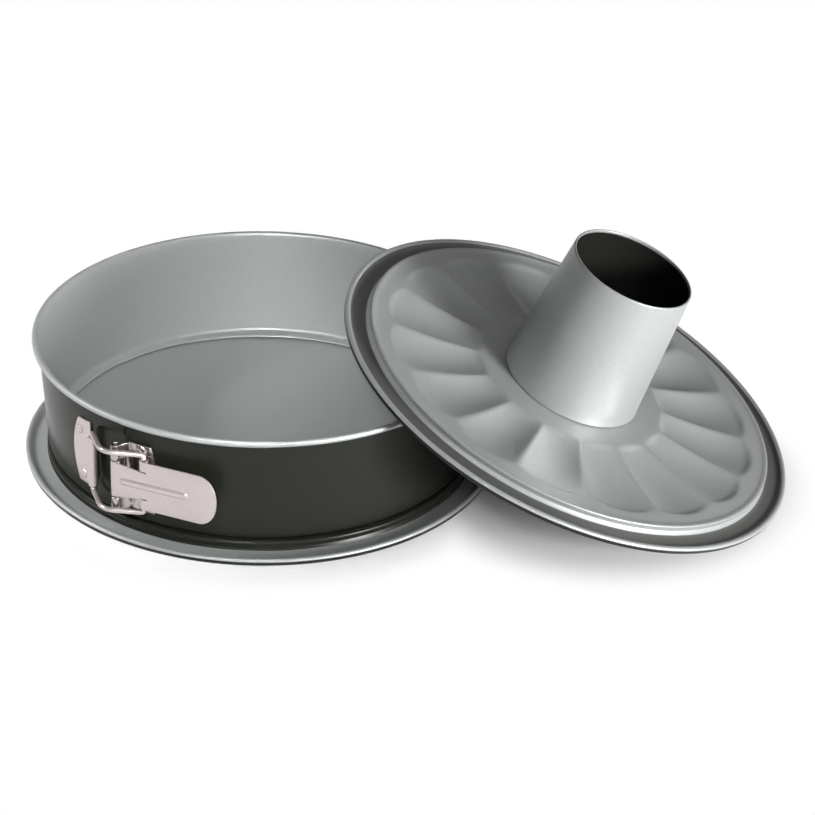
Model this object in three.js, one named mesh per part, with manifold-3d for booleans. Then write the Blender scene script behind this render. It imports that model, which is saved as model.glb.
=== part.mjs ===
// Springform tube pan: a clasped side band on a flat base, with the fluted tube base leaning on its rim.
// Millimetres, +Z up, origin under the centre of the pan on the table.
// +X points from the pan towards the low side of the leaning tube base.
import * as THREE from "three";
import { mergeVertices } from "three/addons/utils/BufferGeometryUtils.js";
import Module from "manifold-3d";

const wasm = await Module();
wasm.setup();

// General sizes
const ROUND_SEGMENTS = 48;
const SHEET = 0.6;
const CLEAR = 0.35;
const TABLE_GAP = 0.3;

// Base edge, shared by the flat base and the tube base
const EDGE_R = 125.75;
const PLATEAU_Z = 7.2;
const FLANGE_Z = 0.95;
const LIP_REACH = 14.05;
const LIP_RISE = 2.75;
const LIP_TUCK = 0.5;
const LIP_R = EDGE_R + LIP_REACH;
const LIP_TOP = FLANGE_Z + LIP_RISE;
const LIP_SIDE_Z = LIP_TOP - 1.8;

// Side band
const RIM_FLARE = 8.45;
const RIM_R = EDGE_R + RIM_FLARE;
const RIM_Z = 73.75;
const ROLL_R = 1.95;
const BEAD_DEPTH = 5.9;
const HEM_Z = PLATEAU_Z - 5.35;
const WALL_FOOT_Z = PLATEAU_Z + 5.4;
const WALL_FOOT_R = EDGE_R + 0.05;
const WALL_TOP_Z = RIM_Z - ROLL_R - 0.65;
const WALL_TOP_R = RIM_R - 2 * ROLL_R - 0.55;
const WALL_LEAN = (WALL_TOP_R - WALL_FOOT_R) / (WALL_TOP_Z - WALL_FOOT_Z);

// Cutters, which reach past the rim and through the wall
const CUTTER_MARGIN = 10.0;
const TALL = RIM_Z + CUTTER_MARGIN;
const PLATE_SPAN = 25.0;

// Seam of the band, and its lap joint: the recessed end of the left strip runs inside the right strip
const SEAM_DEG = 248.6;
const SEAM_SLANT_DEG = 4.4;
const SPLIT_GAP = 0.4;
const LAP_LOW_Z = 21.6;
const LAP_HIGH_Z = 62.0;
const LAP_START_DEG = SEAM_DEG - 8.4;
const LAP_END_DEG = SEAM_DEG + 9.5;

// Clasp: stock and heights
const CLASP_MID_Z = 39.2;
const CLASP_WALL = wallOut(CLASP_MID_Z);
const PLATE_T = 1.1;
const WIRE_R = 1.55;
const PIN_R = 1.3;
const BARREL_R = 2.65;
const BAIL_HALF = 18.5;
const BAIL_BARREL_HALF = 15.7;
const KNUCKLE_HALF = 21.2;

// Clasp layout in plan: angles round the pan in degrees, distances out from the wall
const PIN_DEG = 248.67;
const PIN_OUT = CLASP_WALL + 8.3;
const BAIL_END_DEG = 256.1;
const BAIL_END_OUT = CLASP_WALL + 5.9;
const BAIL_ROOT_DEG = 239.27;
const BAIL_ROOT_OUT = CLASP_WALL + 3.9;
const KNEE_DEG = 247.1;
const KNEE_STAND = 16.0;
const KNEE_OUT = CLASP_WALL + KNEE_STAND;
const KNEE_BEND = 7.0;
const END_BEND = 1.9;

// Bail plate, from the barrel's axis along the wall
const BAIL_PLATE_NEAR = 2.0;
const BAIL_PLATE_TOP_REACH = 13.9;
const BAIL_PLATE_FOOT_REACH = 17.7;
const BAIL_PLATE_BULGE = 26.0;
const BAIL_PLATE_RISE = 22.9;
const BAIL_PLATE_DROP = 20.6;

// Lever bracket, from the pin's axis along the wall
const BRACKET_NEAR = 3.8;
const BRACKET_REACH = 19.5;
const BRACKET_BULGE = 25.5;
const BRACKET_HALF = 22.2;
const WEB_IN = 4.4;
const WEB_OUT = 6.4;

// Lever
const LEVER_HALF = 15.2;
const LEVER_LEN = 63.5;
const LEVER_T = 1.0;
const PADDLE_ROUND = 11.0;
const PADDLE_PULL = 6.0;
const PADDLE_TIP_HALF = 9.0;
const TONGUE_ROOT_HALF = 11.1;
const TONGUE_TIP_HALF = 8.2;
const SLIT = 0.8;
const TAB_HALF = TONGUE_TIP_HALF + SLIT;
const RIB_START = 6.0;
const RIB_MARGIN = 19.5;
const RIB_END = LEVER_LEN - RIB_MARGIN;
const RIB_HALF = 2.6;
const RIB_RISE = 0.7;

// Rivets
const RIVET_R = 1.3;
const RIVET_HEAD_R = 2.4;
const RIVET_HEAD_T = 0.8;
const BAIL_RIVET_ALONG = -12.9;
const BAIL_RIVET_DZ = 14.8;
const BRACKET_RIVET_ALONG = 12.5;
const BRACKET_RIVET_DZ = BRACKET_HALF - 2.6;

// Tongue of the lap, which passes between the bracket's rivets
const LAP_TONGUE_HALF = BRACKET_RIVET_DZ - RIVET_HEAD_R - 2 * CLEAR;

// Tube base
const FLUTES = 16;
const FLUTE_STEPS = 4;
const FLUTE_TURN_DEG = 16.5;
const FLUTE_IN = 56;
const FLUTE_OUT = EDGE_R - 9.75;
const RIDGE_DEPTH = 0.8;
const SCALLOP_DEPTH = 4.05;
const HOLE_R = 40.6;
const TUBE_FOOT_R = HOLE_R + 0.9;
const TUBE_TOP_R = 36.4;
const TUBE_TOP_Z = 90.6;
const TUBE_T = 0.75;
const TUBE_SEGMENTS = 40;
const TUBE_BASE_REACH = 52.4;
const TUBE_BASE_X = EDGE_R + TUBE_BASE_REACH;
const TUBE_BASE_Y = 17.0;
const RIM_SAMPLES = 240;
const RIM_SAMPLE_STEP = 0.5;

const rad = THREE.MathUtils.degToRad;

// Point in plan from a distance out from the pan axis and an angle
function plan(out, deg) {
  return new THREE.Vector2(out * Math.cos(rad(deg)), out * Math.sin(rad(deg)));
}

// Inner and outer face of the wall at a height, as distances from the axis
function wallIn(z) {
  return WALL_FOOT_R + WALL_LEAN * (z - WALL_FOOT_Z);
}

function wallOut(z) {
  return wallIn(z) + SHEET;
}

// Solid from a closed three.js geometry
function solid(geometry) {
  const bare = new THREE.BufferGeometry();
  bare.setAttribute("position", geometry.getAttribute("position").clone());
  if (geometry.index) {
    bare.setIndex(geometry.index.clone());
  }
  const merged = mergeVertices(bare, 1e-4);
  const kept = [];
  const index = merged.index.array;
  for (let i = 0; i < index.length; i += 3) {
    const a = index[i];
    const b = index[i + 1];
    const c = index[i + 2];
    if (a !== b && b !== c && c !== a) {
      kept.push(a, b, c);
    }
  }
  const mesh = new wasm.Mesh({
    numProp: 3,
    vertProperties: new Float32Array(merged.getAttribute("position").array),
    triVerts: new Uint32Array(kept),
  });
  return new wasm.Manifold(mesh);
}

// Path offset to its right-hand side, with mitred corners
function offsetPath(path, distance) {
  const normals = [];
  for (let i = 0; i + 1 < path.length; i += 1) {
    const dx = path[i + 1].x - path[i].x;
    const dy = path[i + 1].y - path[i].y;
    const length = Math.hypot(dx, dy);
    normals.push(new THREE.Vector2(dy / length, -dx / length));
  }
  return path.map((point, i) => {
    const before = normals[Math.max(0, i - 1)];
    const after = normals[Math.min(normals.length - 1, i)];
    const mid = before.clone().add(after).normalize();
    const stretch = Math.min(1.5, 1 / Math.max(0.2, mid.dot(after)));
    return point.clone().addScaledVector(mid, distance * stretch);
  });
}

// Far side of a sheet of even thickness along a path, its end cut level
function sheetUnder(path, thickness) {
  const under = offsetPath(path, thickness);
  under[under.length - 1].y = path[path.length - 1].y;
  return under.reverse();
}

// Closed outline of a sheet of even thickness along a path
function sheetOutline(path, thickness) {
  return [...path, ...sheetUnder(path, thickness), path[0].clone()];
}

// Solid turned about the vertical axis from a closed outline of (radius, height) points
function turned(outline, segments) {
  let area = 0;
  for (let i = 0; i < outline.length; i += 1) {
    const a = outline[i];
    const b = outline[(i + 1) % outline.length];
    area += a.x * b.y - b.x * a.y;
  }
  const points = area > 0 ? outline : [...outline].reverse();
  const geometry = new THREE.LatheGeometry(points, segments);
  geometry.rotateX(Math.PI / 2);
  return geometry;
}

// Upright prism from a plan outline
function upright(points, z0, z1) {
  const geometry = new THREE.ExtrudeGeometry(new THREE.Shape(points), {
    depth: z1 - z0,
    bevelEnabled: false,
    curveSegments: 10,
  });
  geometry.translate(0, 0, z0);
  return geometry;
}

// Frame standing on the wall: x runs along the wall, y up, z outward
function wallFrame(deg) {
  const along = new THREE.Vector3(-Math.sin(rad(deg)), Math.cos(rad(deg)), 0);
  const up = new THREE.Vector3(0, 0, 1);
  const out = new THREE.Vector3(Math.cos(rad(deg)), Math.sin(rad(deg)), 0);
  return new THREE.Matrix4().makeBasis(along, up, out);
}

// Shape given on the wall's tangent plane, pushed through the wall from inside to outside
function wallPrism(shape, deg) {
  const geometry = new THREE.ExtrudeGeometry(shape, {
    depth: 2 * PLATE_SPAN,
    bevelEnabled: false,
    curveSegments: 10,
  });
  geometry.translate(0, 0, CLASP_WALL - PLATE_SPAN);
  geometry.applyMatrix4(wallFrame(deg));
  return solid(geometry);
}

// Shell that follows the wall between two offsets from its inner face
function wallShell(inner, outer, z0, z1) {
  const outline = [
    new THREE.Vector2(wallIn(z0) + inner, z0),
    new THREE.Vector2(wallIn(z0) + outer, z0),
    new THREE.Vector2(wallIn(z1) + outer, z1),
    new THREE.Vector2(wallIn(z1) + inner, z1),
    new THREE.Vector2(wallIn(z0) + inner, z0),
  ];
  return solid(turned(outline, ROUND_SEGMENTS));
}

// Wedge of the pan between two angles
function wedge(deg0, deg1) {
  const far = 2 * LIP_R;
  return solid(upright([new THREE.Vector2(0, 0), plan(far, deg0), plan(far, deg1)], 0, TALL));
}

// Upright cylinder at a plan point
function rod(radius, centre, z0, z1, sides) {
  const geometry = new THREE.CylinderGeometry(radius, radius, z1 - z0, sides);
  geometry.rotateX(Math.PI / 2);
  geometry.translate(centre.x, centre.y, (z0 + z1) / 2);
  return solid(geometry);
}

// Half of the pan, on one side of the slanted seam plane
function halfSpace(side) {
  const reach = 3 * LIP_R;
  const geometry = new THREE.BoxGeometry(reach, reach, reach);
  geometry.translate(0, (side * (reach + SPLIT_GAP)) / 2, 0);
  geometry.rotateX(-rad(SEAM_SLANT_DEG));
  geometry.rotateZ(rad(SEAM_DEG));
  geometry.translate(0, 0, CLASP_MID_Z);
  return solid(geometry);
}

// Edge of a base: bead, groove, drip flange and rolled lip, from the plateau outward
function baseEdgePath() {
  return [
    [EDGE_R - 1.6, PLATEAU_Z],
    [EDGE_R - 0.4, PLATEAU_Z - 0.15],
    [EDGE_R, PLATEAU_Z - 0.95],
    [EDGE_R - 0.9, PLATEAU_Z - 2.2],
    [EDGE_R - 0.9, FLANGE_Z + 2.3],
    [EDGE_R + 0.3, FLANGE_Z + 0.6],
    [LIP_R - 5.4, FLANGE_Z],
    [LIP_R - 3.3, LIP_TOP - 0.6],
    [LIP_R - 2.0, LIP_TOP],
    [LIP_R - 0.6, LIP_TOP - 0.55],
    [LIP_R, LIP_SIDE_Z],
    [LIP_R - LIP_TUCK, 0],
  ].map(([r, z]) => new THREE.Vector2(r, z));
}

// Flat base
function makeFlatBase() {
  const path = [new THREE.Vector2(0, PLATEAU_Z), ...baseEdgePath()];
  const under = sheetUnder(path, SHEET);
  under[under.length - 1].x = 0;
  return solid(turned([...path, ...under], ROUND_SEGMENTS));
}

// Side band as a full ring: hem, groove for the base edge, inward bead, wall and rolled rim
function makeBandRing() {
  const bead = EDGE_R - BEAD_DEPTH;
  const foot = [
    [EDGE_R + 0.75, HEM_Z],
    [EDGE_R - 0.15, HEM_Z + 1.65],
    [EDGE_R - 0.1, HEM_Z + 2.65],
    [EDGE_R + 0.65, HEM_Z + 3.85],
    [EDGE_R + 0.5, PLATEAU_Z - 0.2],
    [EDGE_R - 1.0, PLATEAU_Z + 0.45],
    [bead + 1.3, PLATEAU_Z + 0.45],
    [bead, PLATEAU_Z + 1.25],
    [bead + 0.9, PLATEAU_Z + 2.3],
    [EDGE_R - 0.8, PLATEAU_Z + 3.7],
    [WALL_FOOT_R, WALL_FOOT_Z],
    [WALL_TOP_R, WALL_TOP_Z],
  ].map(([r, z]) => new THREE.Vector2(r, z));
  const roll = [165, 124, 84, 43, 2, -39, -79, -120].map((deg) => new THREE.Vector2(
    RIM_R - ROLL_R + ROLL_R * Math.cos(rad(deg)),
    RIM_Z + ROLL_R * Math.sin(rad(deg)),
  ));
  return solid(turned(sheetOutline([...foot, ...roll], SHEET), ROUND_SEGMENTS));
}

// Angle of a place on the wall, from an angle and a distance along the wall
function alongWall(deg, along) {
  return deg + THREE.MathUtils.radToDeg(along / CLASP_WALL);
}

// Rivet hole through the wall and any plate on it
function rivetHole(deg, z) {
  const geometry = new THREE.CylinderGeometry(RIVET_R + CLEAR, RIVET_R + CLEAR, 2 * PLATE_SPAN, 12);
  geometry.rotateX(Math.PI / 2);
  geometry.translate(0, 0, CLASP_WALL);
  geometry.applyMatrix4(wallFrame(deg));
  geometry.translate(0, 0, z);
  return solid(geometry);
}

// Rivet with a flat head inside the wall and a domed head outside the plate
function makeRivet(deg, z) {
  const inFace = wallIn(z) - CLEAR - 0.2;
  const outFace = wallOut(z) + CLEAR + PLATE_T + CLEAR + 0.1;
  const outline = [
    new THREE.Vector2(0, inFace - RIVET_HEAD_T),
    new THREE.Vector2(RIVET_HEAD_R, inFace - RIVET_HEAD_T),
    new THREE.Vector2(RIVET_HEAD_R, inFace),
    new THREE.Vector2(RIVET_R, inFace),
    new THREE.Vector2(RIVET_R, outFace),
    new THREE.Vector2(RIVET_HEAD_R, outFace),
    new THREE.Vector2(RIVET_HEAD_R * 0.75, outFace + RIVET_HEAD_T * 0.75),
    new THREE.Vector2(0, outFace + RIVET_HEAD_T),
  ];
  const geometry = turned(outline, 12);
  geometry.applyMatrix4(wallFrame(deg));
  geometry.translate(0, 0, z);
  return solid(geometry);
}

// Plan corners given along the wall and outward, turned to the pan
function wallPlan(points, deg) {
  const along = plan(1, deg + 90);
  const out = plan(1, deg);
  return points.map(([u, w]) => along.clone().multiplyScalar(u).addScaledVector(out, w));
}

const bandRing = makeBandRing();
const bailRivetDeg = alongWall(BAIL_ROOT_DEG, BAIL_RIVET_ALONG);
const bailRivets = [CLASP_MID_Z + BAIL_RIVET_DZ, CLASP_MID_Z - BAIL_RIVET_DZ];
const bracketRivetDeg = alongWall(PIN_DEG, BRACKET_RIVET_ALONG);
const bracketRivets = [CLASP_MID_Z + BRACKET_RIVET_DZ, CLASP_MID_Z - BRACKET_RIVET_DZ];
const pinAt = plan(PIN_OUT, PIN_DEG);
const bailEndAt = plan(BAIL_END_OUT, BAIL_END_DEG);
const bailRootAt = plan(BAIL_ROOT_OUT, BAIL_ROOT_DEG);

// Right half of the band, carrying the lever bracket
function makeBandRight() {
  let body = bandRing.intersect(halfSpace(1));
  for (const z of bracketRivets) {
    body = body.subtract(rivetHole(bracketRivetDeg, z));
  }
  return body;
}

// Left half of the band, with the recessed lap end and the bail plate's rivet holes
function makeBandLeft() {
  const margin = 1.6;
  const marginDeg = 0.7;
  const leftHalf = halfSpace(-1);
  let body = bandRing.intersect(leftHalf);
  const pad = wallShell(-CLEAR - SHEET, 0.25, LAP_LOW_Z - margin, LAP_HIGH_Z + margin)
    .intersect(wedge(LAP_START_DEG - marginDeg, LAP_END_DEG))
    .intersect(leftHalf);
  const lap = wallShell(-CLEAR - SHEET, -CLEAR, LAP_LOW_Z, LAP_HIGH_Z)
    .intersect(wedge(LAP_START_DEG, LAP_END_DEG))
    .intersect(leftHalf);
  const tongue = wallShell(-CLEAR - SHEET, -CLEAR, CLASP_MID_Z - LAP_TONGUE_HALF, CLASP_MID_Z + LAP_TONGUE_HALF)
    .intersect(wedge(LAP_START_DEG, LAP_END_DEG));
  const pocket = wallShell(-CLEAR, SHEET + 2, LAP_LOW_Z, LAP_HIGH_Z)
    .intersect(wedge(LAP_START_DEG, LAP_END_DEG));
  body = body.add(pad).subtract(pocket).add(lap).add(tongue);
  for (const z of bailRivets) {
    body = body.subtract(rivetHole(bailRivetDeg, z));
  }
  return body;
}

// Solid filling the inside of the wall and its clearance, cut away from plates that stand on it
function wallCore() {
  const outline = [
    new THREE.Vector2(0, 0),
    new THREE.Vector2(wallOut(0) + CLEAR, 0),
    new THREE.Vector2(wallOut(WALL_TOP_Z) + CLEAR, WALL_TOP_Z),
    new THREE.Vector2(0, WALL_TOP_Z),
  ];
  return solid(turned(outline, ROUND_SEGMENTS));
}

const core = wallCore();
const plateSkin = wallShell(SHEET + CLEAR, SHEET + CLEAR + PLATE_T, WALL_FOOT_Z, WALL_TOP_Z);

// Plate on the left strip, rolled into a barrel round the bail's upright leg
function makeBailPlate() {
  const top = CLASP_MID_Z + BAIL_PLATE_RISE;
  const foot = CLASP_MID_Z - BAIL_PLATE_DROP;
  const low = CLASP_MID_Z - BAIL_BARREL_HALF;
  const high = CLASP_MID_Z + BAIL_BARREL_HALF;
  const shape = new THREE.Shape();
  shape.moveTo(-BAIL_PLATE_NEAR, foot);
  shape.lineTo(-BAIL_PLATE_NEAR, top);
  shape.lineTo(-BAIL_PLATE_TOP_REACH, top - 0.6);
  shape.quadraticCurveTo(-BAIL_PLATE_BULGE, CLASP_MID_Z, -BAIL_PLATE_FOOT_REACH, foot);
  shape.closePath();
  const skin = plateSkin.intersect(wallPrism(shape, BAIL_ROOT_DEG));
  const web = solid(upright(wallPlan([
    [-BAIL_PLATE_NEAR - 2.4, CLASP_WALL - 2.0],
    [-BAIL_PLATE_NEAR + 0.4, CLASP_WALL - 2.0],
    [0.4, BAIL_ROOT_OUT - 2.3],
    [0.4, BAIL_ROOT_OUT - 0.7],
    [-BAIL_PLATE_NEAR - 0.4, BAIL_ROOT_OUT - 0.7],
    [-BAIL_PLATE_NEAR - 2.4, CLASP_WALL + 2.2],
  ], BAIL_ROOT_DEG), low, high)).subtract(core);
  const barrel = rod(BARREL_R, bailRootAt, low, high, 20);
  let body = skin.add(web).add(barrel).subtract(rod(WIRE_R + CLEAR, bailRootAt, 0, TALL, 16));
  for (const z of bailRivets) {
    body = body.subtract(rivetHole(bailRivetDeg, z));
  }
  return body;
}

// Wire bent from corner to corner with rounded bends
function bentWire(corners, bends, steps) {
  const path = new THREE.CurvePath();
  let from = corners[0];
  for (let i = 1; i + 1 < corners.length; i += 1) {
    const into = corners[i].clone().sub(corners[i - 1]).normalize();
    const away = corners[i + 1].clone().sub(corners[i]).normalize();
    const start = corners[i].clone().addScaledVector(into, -bends[i - 1]);
    const end = corners[i].clone().addScaledVector(away, bends[i - 1]);
    path.add(new THREE.LineCurve3(from, start));
    path.add(new THREE.QuadraticBezierCurve3(start, corners[i].clone(), end));
    from = end;
  }
  path.add(new THREE.LineCurve3(from, corners[corners.length - 1]));
  const section = [];
  const sides = 8;
  for (let i = 0; i < sides; i += 1) {
    const turn = (2 * Math.PI * i) / sides;
    section.push(new THREE.Vector2(WIRE_R * Math.cos(turn), WIRE_R * Math.sin(turn)));
  }
  return solid(new THREE.ExtrudeGeometry(new THREE.Shape(section), {
    steps, extrudePath: path, bevelEnabled: false,
  }));
}

// Wire bail: one wire from the lever's upper tab round the barrel to its lower tab
function makeBail() {
  const knee = plan(KNEE_OUT, KNEE_DEG);
  const top = CLASP_MID_Z + BAIL_HALF;
  const bottom = CLASP_MID_Z - BAIL_HALF;
  const stub = LEVER_HALF + CLEAR;
  const corners = [
    new THREE.Vector3(bailEndAt.x, bailEndAt.y, CLASP_MID_Z + stub),
    new THREE.Vector3(bailEndAt.x, bailEndAt.y, top),
    new THREE.Vector3(knee.x, knee.y, top),
    new THREE.Vector3(bailRootAt.x, bailRootAt.y, top),
    new THREE.Vector3(bailRootAt.x, bailRootAt.y, bottom),
    new THREE.Vector3(knee.x, knee.y, bottom),
    new THREE.Vector3(bailEndAt.x, bailEndAt.y, bottom),
    new THREE.Vector3(bailEndAt.x, bailEndAt.y, CLASP_MID_Z - stub),
  ];
  return bentWire(corners, [END_BEND, KNEE_BEND, END_BEND, END_BEND, KNEE_BEND, END_BEND], 76);
}

// Lever: tongue rolled round the hinge pin, two rolled tabs at the bail ends, paddle and rib
function makeLever() {
  const reach = bailEndAt.clone().sub(pinAt);
  const arm = reach.length();
  const along = new THREE.Vector3(reach.x / arm, reach.y / arm, 0);
  const up = new THREE.Vector3(0, 0, 1);
  const out = new THREE.Vector3().crossVectors(along, up);
  const frame = new THREE.Matrix4().makeBasis(along, up, out);
  frame.setPosition(pinAt.x, pinAt.y, CLASP_MID_Z);
  const face = BARREL_R - LEVER_T;
  const tab = arm - BARREL_R;
  const slitEnd = arm + 2.4;
  const round = LEVER_LEN - PADDLE_ROUND;
  const shape = new THREE.Shape();
  shape.moveTo(0, -TONGUE_ROOT_HALF);
  shape.lineTo(slitEnd, -TONGUE_TIP_HALF);
  shape.lineTo(slitEnd, -TAB_HALF);
  shape.lineTo(tab, -TAB_HALF);
  shape.lineTo(tab, -LEVER_HALF);
  shape.lineTo(round, -LEVER_HALF);
  shape.bezierCurveTo(round + PADDLE_PULL, -LEVER_HALF, LEVER_LEN, -PADDLE_TIP_HALF, LEVER_LEN, 0);
  shape.bezierCurveTo(LEVER_LEN, PADDLE_TIP_HALF, round + PADDLE_PULL, LEVER_HALF, round, LEVER_HALF);
  shape.lineTo(tab, LEVER_HALF);
  shape.lineTo(tab, TAB_HALF);
  shape.lineTo(slitEnd, TAB_HALF);
  shape.lineTo(slitEnd, TONGUE_TIP_HALF);
  shape.lineTo(0, TONGUE_ROOT_HALF);
  shape.closePath();
  const sheet = new THREE.ExtrudeGeometry(shape, { depth: LEVER_T, bevelEnabled: false, curveSegments: 8 });
  sheet.translate(0, 0, face);
  sheet.applyMatrix4(frame);
  const ribShape = new THREE.Shape();
  ribShape.moveTo(RIB_START, -RIB_HALF);
  ribShape.lineTo(RIB_END, -RIB_HALF);
  ribShape.absarc(RIB_END, 0, RIB_HALF, -Math.PI / 2, Math.PI / 2, false);
  ribShape.lineTo(RIB_START, RIB_HALF);
  ribShape.absarc(RIB_START, 0, RIB_HALF, Math.PI / 2, (3 * Math.PI) / 2, false);
  const rib = new THREE.ExtrudeGeometry(ribShape, {
    depth: LEVER_T / 2 + RIB_RISE, bevelEnabled: false, curveSegments: 6,
  });
  rib.translate(0, 0, face + LEVER_T / 2);
  rib.applyMatrix4(frame);
  const low = CLASP_MID_Z - LEVER_HALF;
  const high = CLASP_MID_Z + LEVER_HALF;
  const tongue = rod(BARREL_R, pinAt, CLASP_MID_Z - TONGUE_ROOT_HALF, CLASP_MID_Z + TONGUE_ROOT_HALF, 20);
  const upperTab = rod(BARREL_R, bailEndAt, CLASP_MID_Z + TAB_HALF, high, 20);
  const lowerTab = rod(BARREL_R, bailEndAt, low, CLASP_MID_Z - TAB_HALF, 20);
  return solid(sheet).add(solid(rib)).add(tongue).add(upperTab).add(lowerTab)
    .subtract(rod(PIN_R + CLEAR, pinAt, 0, TALL, 16))
    .subtract(rod(WIRE_R + CLEAR, bailEndAt, 0, TALL, 16));
}

// Lever bracket: plate on the right strip, web standing off it and two knuckles round the pin
function makeLeverBracket() {
  const low = CLASP_MID_Z - KNUCKLE_HALF;
  const high = CLASP_MID_Z + KNUCKLE_HALF;
  const notchHalf = TONGUE_ROOT_HALF + CLEAR;
  const shape = new THREE.Shape();
  shape.moveTo(BRACKET_NEAR, CLASP_MID_Z - BRACKET_HALF);
  shape.lineTo(BRACKET_REACH, CLASP_MID_Z - BRACKET_HALF);
  shape.quadraticCurveTo(BRACKET_BULGE, CLASP_MID_Z, BRACKET_REACH, CLASP_MID_Z + BRACKET_HALF);
  shape.lineTo(BRACKET_NEAR, CLASP_MID_Z + BRACKET_HALF);
  shape.closePath();
  const skin = plateSkin.intersect(wallPrism(shape, PIN_DEG));
  const web = solid(upright(wallPlan([
    [WEB_IN, CLASP_WALL - 2.5],
    [WEB_OUT, CLASP_WALL - 2.5],
    [WEB_OUT, CLASP_WALL + 1.9],
    [1.9, PIN_OUT + 0.5],
    [-0.6, PIN_OUT - 1.3],
    [WEB_IN, CLASP_WALL + 0.6],
  ], PIN_DEG), low, high)).subtract(core);
  const knuckles = rod(BARREL_R, pinAt, low, high, 20);
  const notch = rod(BARREL_R + 2 * CLEAR, pinAt, CLASP_MID_Z - notchHalf, CLASP_MID_Z + notchHalf, 20);
  let body = skin.add(web).add(knuckles).subtract(notch).subtract(rod(PIN_R + CLEAR, pinAt, 0, TALL, 16));
  for (const z of bracketRivets) {
    body = body.subtract(rivetHole(bracketRivetDeg, z));
  }
  return body;
}

// Hinge pin, a little shorter than the knuckles
function makePin() {
  const half = KNUCKLE_HALF - 1.5;
  return rod(PIN_R, pinAt, CLASP_MID_Z - half, CLASP_MID_Z + half, 16);
}

// Depth of the fluted trough below the plateau, with a ridge at turn zero
function fluteDepth(r, turn) {
  const s = (r - FLUTE_IN) / (FLUTE_OUT - FLUTE_IN);
  if (s <= 0 || s >= 1) {
    return 0;
  }
  const across = (turn * FLUTES) / (2 * Math.PI);
  const u = across - Math.floor(across + 1e-9);
  const bowl = Math.sin(Math.PI * s);
  return bowl * RIDGE_DEPTH + Math.sqrt(bowl) * SCALLOP_DEPTH * (1 - (2 * u - 1) ** 2);
}

// Placing of the tube base at a tilt: turned about Y with its low side towards +X, just clear of the table
function placing(tilt) {
  const foot = (LIP_R - LIP_TUCK) * Math.sin(tilt);
  const side = LIP_R * Math.sin(tilt) - LIP_SIDE_Z * Math.cos(tilt);
  const matrix = new THREE.Matrix4().makeRotationY(tilt);
  return matrix.setPosition(TUBE_BASE_X, TUBE_BASE_Y, Math.max(foot, side) + TABLE_GAP);
}

// Least distance from the disc's underside to the band's rolled rim at a tilt
function rimGap(tilt) {
  const place = placing(tilt);
  const point = new THREE.Vector3();
  let least = Infinity;
  for (let r = HOLE_R; r < EDGE_R; r += RIM_SAMPLE_STEP) {
    for (let i = 0; i < RIM_SAMPLES; i += 1) {
      const turn = (2 * Math.PI * i) / RIM_SAMPLES;
      const under = PLATEAU_Z - SHEET - fluteDepth(r, turn);
      const around = turn + rad(FLUTE_TURN_DEG);
      point.set(r * Math.cos(around), r * Math.sin(around), under).applyMatrix4(place);
      const out = Math.hypot(point.x, point.y) - (RIM_R - ROLL_R);
      least = Math.min(least, Math.hypot(out, point.z - RIM_Z) - ROLL_R);
    }
  }
  return least;
}

// Tilt at which the tube base lies on the rim, found by halving
function restingTilt() {
  let low = rad(5);
  let high = rad(60);
  for (let i = 0; i < 30; i += 1) {
    const middle = (low + high) / 2;
    if (rimGap(middle) < CLEAR) {
      low = middle;
    } else {
      high = middle;
    }
  }
  return high;
}

const leaning = placing(restingTilt());

// Fluted disc of the tube base
function makeTubeBaseDisc() {
  const troughRings = [0, 0.12, 0.3, 0.5, 0.7, 0.88, 1].map((s) => FLUTE_IN + s * (FLUTE_OUT - FLUTE_IN));
  const rings = [HOLE_R, (HOLE_R + FLUTE_IN) / 2, ...troughRings];
  const path = [...rings.map((r) => new THREE.Vector2(r, PLATEAU_Z)), ...baseEdgePath()];
  const geometry = turned(sheetOutline(path, SHEET), FLUTES * FLUTE_STEPS);
  const position = geometry.getAttribute("position");
  for (let i = 0; i < position.count; i += 1) {
    const x = position.getX(i);
    const y = position.getY(i);
    const turn = Math.atan2(y, x) + 2 * Math.PI;
    position.setZ(i, position.getZ(i) - fluteDepth(Math.hypot(x, y), turn));
  }
  geometry.rotateZ(rad(FLUTE_TURN_DEG));
  geometry.applyMatrix4(leaning);
  return solid(geometry);
}

// Centre tube, its foot folded round the rim of the disc's hole
function makeCentreTube() {
  const neck = HOLE_R - CLEAR - 0.05;
  const under = PLATEAU_Z - SHEET - CLEAR;
  const outline = [
    [TUBE_TOP_R - TUBE_T, TUBE_TOP_Z - 0.3],
    [TUBE_FOOT_R - TUBE_T - 0.4, PLATEAU_Z + 3.7],
    [neck - TUBE_T, PLATEAU_Z + 1.2],
    [neck - TUBE_T, under - TUBE_T],
    [neck + 2.2, under - TUBE_T],
    [neck + 2.2, under],
    [neck, under],
    [neck, PLATEAU_Z + CLEAR],
    [TUBE_FOOT_R, PLATEAU_Z + CLEAR],
    [TUBE_FOOT_R, PLATEAU_Z + 1.3],
    [TUBE_FOOT_R - 0.4, PLATEAU_Z + 3.7],
    [TUBE_TOP_R, TUBE_TOP_Z - 0.3],
    [TUBE_TOP_R - 0.25, TUBE_TOP_Z],
    [TUBE_TOP_R - TUBE_T + 0.25, TUBE_TOP_Z],
    [TUBE_TOP_R - TUBE_T, TUBE_TOP_Z - 0.3],
  ].map(([r, z]) => new THREE.Vector2(r, z));
  const geometry = turned(outline, TUBE_SEGMENTS);
  geometry.applyMatrix4(leaning);
  return solid(geometry);
}

// Finishes
const coated = new THREE.MeshStandardMaterial({ color: 0x8f9190, roughness: 0.45, metalness: 0.55 });
const outerCoat = new THREE.MeshStandardMaterial({ color: 0x4a4b47, roughness: 0.55, metalness: 0.3 });
const bright = new THREE.MeshStandardMaterial({ color: 0xcfc6c4, roughness: 0.35, metalness: 0.85 });

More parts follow.
